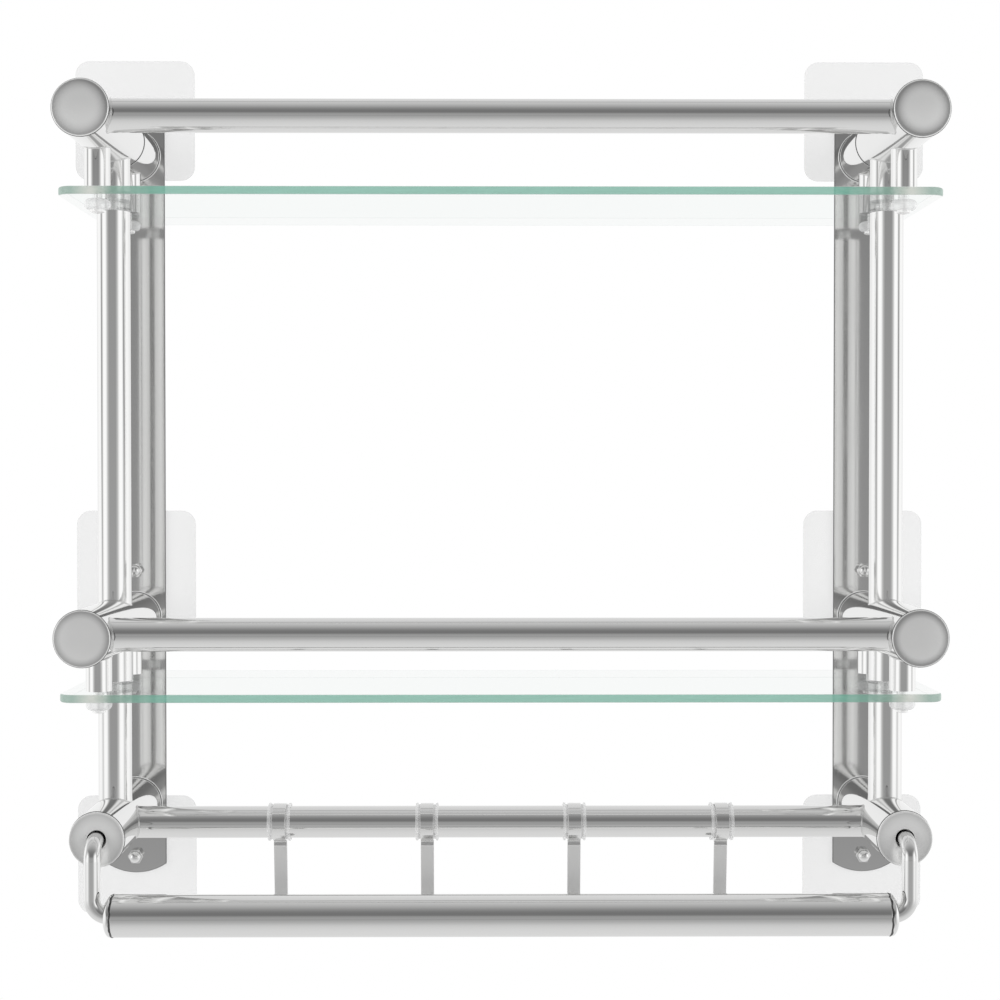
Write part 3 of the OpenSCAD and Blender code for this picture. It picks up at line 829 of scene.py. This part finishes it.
for side, sign in SIDE_SIGNS:
    node = f"{side}_bar_plug"
    bar, r = mid("towel_bar"), bar_radius("towel_bar")
    end_x = bar_end(side, "towel_bar")
    flange = abs(bar_end(side, node) - end_x)
    crown = (flange - PLUG_RIM) / math.sin(math.radians(PLUG_CROWN_ANGLE))
    fit, e = r - BAR_WALL, 0.35 * MM
    p = [(PLUG_INNER_R, -PLUG_DEPTH), (fit, -PLUG_DEPTH), (fit, 0.0)]
    p += arc(r - e, e, e, -90, 0, 4)
    for k in range(17):
        a = math.radians(PLUG_CROWN_ANGLE * k / 16)
        p.append((r * math.cos(a), PLUG_RIM + crown * math.sin(a)))
    p += arc(PLUG_INNER_R + 0.5 * MM, flange - 0.5 * MM, 0.5 * MM, 80, 180, 5)
    bm = bmesh.new()
    lathe(bm, p, 192, closed=True)
    # The rim's edge is crimped unevenly onto the bar's end
    for v in bm.verts:
        if math.hypot(v.co.x, v.co.y) > 0.8 * r and v.co.z > -0.01 * MM:
            wave = crimp(math.atan2(v.co.y, v.co.x), sign)
            edge = max(0.0, 1.0 - v.co.z / CRIMP_REACH)
            v.co.z += CRIMP_HEIGHT * wave * edge
            inward = 1.0 - 0.05 * edge * (1.0 - wave)
            v.co.x *= inward
            v.co.y *= inward
    place = facing_x((end_x, bar.y, bar.z), sign)
    piece = finish_mesh(f"{node}_face", bm, "towel_bar", plug_steel, place)
    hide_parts(node)


# ---------------------------------------------------------------- weld seams where tubes meet, and rings of painted shade where parts meet
def seam(bm, centre, along, big_axis, big_r, r, w, shift=0.0, n=96, ring=8):
    """A thin bead of radius w round a tube of radius r that leaves along a direction.

    It follows the tube of radius big_r that it meets, whose axis is big_axis and passes shift below.
    With a big_r of zero the bead is a plain ring.
    """
    across = big_axis.cross(along)
    shift *= across.z

    def at(t):
        aside = shift + r * math.sin(t)
        depth = math.sqrt(big_r * big_r - aside * aside) if big_r else 0.0
        return centre + along * depth + big_axis * (r * math.cos(t)) + across * aside

    turns = [2 * math.pi * k / ring for k in range(ring)]
    rings = []
    for i in range(n):
        t = 2 * math.pi * i / n
        p = at(t)
        tangent = (at(t + 0.01) - at(t - 0.01)).normalized()
        out = (big_axis * math.cos(t) + across * math.sin(t)).normalized()
        up = tangent.cross(out).normalized()
        rings.append([bm.verts.new(p + w * (out * math.cos(a) + up * math.sin(a))) for a in turns])
    for i in range(n):
        a, b = rings[i], rings[(i + 1) % n]
        for k in range(ring):
            m = (k + 1) % ring
            bm.faces.new((a[k], a[m], b[m], b[k]))


def ring_seam(bm, arm, y, r, w):
    """A plain ring round an arm."""
    seam(bm, Vector((mid(arm).x, y, mid(arm).z)), -Y, X, 0.0, r, w)


BEAD = 0.45 * MM
ARM_JOINT_Y = -53 * MM
# The seams ring is near black, painted shade along the plate, and the beads are welds
# piece, material, distance from the plate, height above the arm and radius of each ring at the wall
PLATE_RINGS = (
    ("beads", bead_steel, 0.0, 0.25 * MM, 0.55 * MM),
    ("seams", shade_line_steel, 0.8 * MM, -0.1 * MM, 0.35 * MM),
)
# The joint ring is near black, painted shade round the arm, and its lip is a bead
# piece, material, distance behind the joint, depth in the arm and radius of each ring at the joint
JOINT_RINGS = (
    ("joint", shade_line_steel, 0.0, 0.3 * MM, 0.6 * MM),
    ("joint_lip", bead_steel, 0.85 * MM, 0.2 * MM, 0.45 * MM),
)

for side, sign in SIDE_SIGNS:
    bm = bmesh.new()
    for level, shelf in (("upper", "upper"), ("middle", "lower")):
        arm = mid(f"{side}_{level}_arm")
        r = arm_radius(f"{side}_{level}_arm")
        front_bar = f"{level}_front_bar"
        bar = mid(front_bar)
        meet = Vector((arm.x, bar.y, arm.z))
        seam(bm, meet, X * -sign, Y, r, bar_radius(front_bar), BEAD, bar.z - arm.z)
        stub = f"{side}_{shelf}_post_stub"
        seam(bm, Vector((arm.x, mid(stub).y, arm.z)), -Z, Y, r, size(stub).x / 2, BEAD)
        front, rear, hanger_r = hanger_places(side, shelf)
        for y in (front, rear):
            seam(bm, Vector((arm.x, y, arm.z)), -Z, Y, r, hanger_r, BEAD)
    for post, level in (("upper_post", "middle"), ("lower_post", "lower")):
        arm = mid(f"{side}_{level}_arm")
        name = f"{side}_{post}"
        meet = Vector((arm.x, mid(name).y, arm.z))
        seam(bm, meet, Z, Y, arm_radius(f"{side}_{level}_arm"), size(name).x / 2, BEAD)
    arm = mid(f"{side}_lower_arm")
    meet = Vector((arm.x, mid("hook_rail").y, arm.z))
    seam(bm, meet, X * -sign, Y, arm_radius(f"{side}_lower_arm"), bar_radius("hook_rail"), BEAD)
    finish_mesh(f"{side}_joint_seams", bm, "rack", weld_steel)
    arms = [f"{side}_{level}_arm" for level in LEVELS]
    for part, mat, forward, out, w in PLATE_RINGS:
        bm = bmesh.new()
        for arm in arms:
            ring_seam(bm, arm, high(arm).y - forward, arm_radius(arm) + out, w)
        finish_mesh(f"{side}_plate_{part}", bm, "rack", mat)
    for part, mat, back, sunk, w in JOINT_RINGS:
        bm = bmesh.new()
        ring_seam(bm, arms[0], ARM_JOINT_Y + back, arm_radius(arms[0]) - sunk, w)
        finish_mesh(f"{side}_arm_{part}", bm, "rack", mat)
    # A near-black ring of painted shade where each cap meets its arm
    bm = bmesh.new()
    for arm in arms:
        ring_seam(bm, arm, low(arm).y, arm_radius(arm) - 0.15 * MM, 0.4 * MM)
    finish_mesh(f"{side}_cap_shade_lines", bm, "rack", shade_line_steel)
    # A near-black ring of painted shade where the plug meets the towel bar, crimped like its rim
    bm = bmesh.new()
    bar = mid("towel_bar")
    centre = Vector((bar_end(side, "towel_bar"), bar.y, bar.z))
    seam(bm, centre, X * sign, Z, 0.0, bar_radius("towel_bar") - 0.4 * MM, 0.65 * MM)
    for v in bm.verts:
        wave = crimp(math.atan2(v.co.z - bar.z, v.co.y - bar.y), sign)
        v.co.x += sign * CRIMP_HEIGHT * (wave - 0.2)
    finish_mesh(f"{side}_plug_shade_line", bm, "towel_bar", shade_line_steel)


# The clear parts, the hangers and their screws are left out of the steel's reflections, which stay clean
CLEAR = (glass_mat, pad_plastic, washer_plastic, gasket_plastic, liner_plastic)
for ob in scene.objects:
    if ob.type == "MESH" and ob.data.materials:
        if ob.data.materials[0] in CLEAR or "hanger" in ob.name:
            ob.visible_glossy = False


# ---------------------------------------------------------------- floor
FLOOR_REACH = 1.5
FLOOR_Y, FLOOR_Z = -0.2, -1.3

floor_tree = Tree("floor_pale")
speck = floor_tree.noise(triple(3.0), 4.0, 0.5)
floor_tree.drive(Base_Color=floor_tree.mix(speck, triple(0.86), triple(0.9)))
floor_tree.set(Roughness=0.8)
bm = bmesh.new()
bmesh.ops.create_grid(bm, x_segments=8, y_segments=8, size=FLOOR_REACH)
floor_mesh = bpy.data.meshes.new("floor")
bm.to_mesh(floor_mesh)
bm.free()
floor_mesh.materials.append(floor_tree.mat)
floor = bpy.data.objects.new("floor", floor_mesh)
floor.location = (0.0, FLOOR_Y, FLOOR_Z)
floor.visible_glossy = False
scene.collection.objects.link(floor)


# ---------------------------------------------------------------- studio light
PANEL_LIGHT = 1.12
# Brightness by the angle above the horizon, from straight down at -90 to the front at 0,
# straight up at 90, and the back at 180
RISE = (
    (-180, 0.82), (-130, 0.79), (-85, 0.77), (-70, 0.75), (-55, 0.71), (-42, 0.655),
    (-30, 0.545), (-20, 0.455), (-12, 0.41), (-10, 0.35), (-7, 0.35), (-5, 0.385),
    (2, 0.36), (9, 0.32), (12, 0.22), (20, 0.19), (27, 0.2), (36, 0.235),
    (47, 0.32), (58, 0.42), (71, 0.525), (85, 0.61), (94, 0.64), (97, 0.47),
    (101, 0.47), (104, 0.7), (130, 0.77), (179, 0.82),
)
# Strength of the side panels, from the front at 0 to the back at 1
PANELS_ASIDE = (
    (0.0, 0.0), (0.12, 0.0), (0.19, 0.3), (0.25, 0.9), (0.28, 1.0), (0.37, 1.0), (0.41, 0.6),
    (0.44, 0.12), (0.475, 0.12), (0.505, 0.6), (0.55, 0.95), (0.68, 0.8), (0.78, 0.4), (1.0, 0.4),
)
# Strength of the side panels by height, from straight down at 0 to straight up at 1
PANELS_UP = ((0.0, 0.0), (0.28, 0.0), (0.42, 1.0), (0.6, 1.0), (0.75, 0.0), (1.0, 0.0))


def studio_world():
    """A room that only reflections and light see. The camera sees plain white."""
    world = bpy.data.worlds.new("studio")
    scene.world = world
    world.use_nodes = True
    nt = world.node_tree
    nt.nodes.clear()
    out = nt.nodes.new("ShaderNodeOutputWorld")
    coord = nt.nodes.new("ShaderNodeTexCoord")
    split = nt.nodes.new("ShaderNodeSeparateXYZ")
    nt.links.new(coord.outputs["Generated"], split.inputs[0])

    def ramp(value, stops):
        r = nt.nodes.new("ShaderNodeValToRGB")
        r.color_ramp.interpolation = "LINEAR"
        els = r.color_ramp.elements
        while len(els) > 1:
            els.remove(els[-1])
        els[0].position = stops[0][0]
        els[0].color = (stops[0][1],) * 3 + (1.0,)
        for pos, v in stops[1:]:
            e = els.new(pos)
            e.color = (v, v, v, 1.0)
        nt.links.new(value, r.inputs[0])
        return r.outputs[0]

    x, y, z = split.outputs
    front = add_math(nt, "MULTIPLY", y, -1.0)
    height = add_math(nt, "ARCTAN2", z, front)
    turn = add_math(nt, "ADD", add_math(nt, "DIVIDE", height, 2 * math.pi), 0.5)
    rise = ramp(turn, [(degrees / 360.0 + 0.5, v) for degrees, v in RISE])
    # Angle from the front plane to the side, the same to the left and right
    aside = add_math(nt, "ARCTAN2", add_math(nt, "ABSOLUTE", x), front)
    sides = ramp(add_math(nt, "DIVIDE", aside, math.pi), PANELS_ASIDE)
    level = ramp(add_math(nt, "ADD", add_math(nt, "MULTIPLY", z, 0.5), 0.5), PANELS_UP)
    mix = nt.nodes.new("ShaderNodeMix")
    mix.data_type = "RGBA"
    nt.links.new(add_math(nt, "MULTIPLY", sides, level), mix.inputs["Factor"])
    nt.links.new(rise, mix.inputs["A"])
    mix.inputs["B"].default_value = triple(PANEL_LIGHT) + (1.0,)

    room = nt.nodes.new("ShaderNodeBackground")
    nt.links.new(mix.outputs["Result"], room.inputs["Color"])
    room.inputs["Strength"].default_value = 1.0
    white = nt.nodes.new("ShaderNodeBackground")
    white.inputs["Color"].default_value = (1.0, 1.0, 1.0, 1.0)
    path = nt.nodes.new("ShaderNodeLightPath")
    see = nt.nodes.new("ShaderNodeMixShader")
    nt.links.new(path.outputs["Is Camera Ray"], see.inputs[0])
    nt.links.new(room.outputs[0], see.inputs[1])
    nt.links.new(white.outputs[0], see.inputs[2])
    nt.links.new(see.outputs[0], out.inputs["Surface"])


def softbox(name, location, target, size_x, size_y, watts):
    """A rectangular lamp that neither the camera nor the steel sees."""
    data = bpy.data.lights.new(name, "AREA")
    data.shape = "RECTANGLE"
    data.size, data.size_y = size_x, size_y
    data.energy = watts
    ob = bpy.data.objects.new(name, data)
    scene.collection.objects.link(ob)
    ob.location = location
    ob.rotation_euler = (Vector(target) - Vector(location)).to_track_quat("-Z", "Y").to_euler()
    ob.visible_glossy = False
    ob.visible_camera = False


studio_world()
for side, sign in SIDE_SIGNS:
    softbox(f"soft_{side}", (sign * 1.9, -1.5, 0.7), (0.0, 0.0, 0.0), 1.4, 1.8, 30.0)

scene.view_settings.view_transform = "Standard"
scene.view_settings.look = "None"
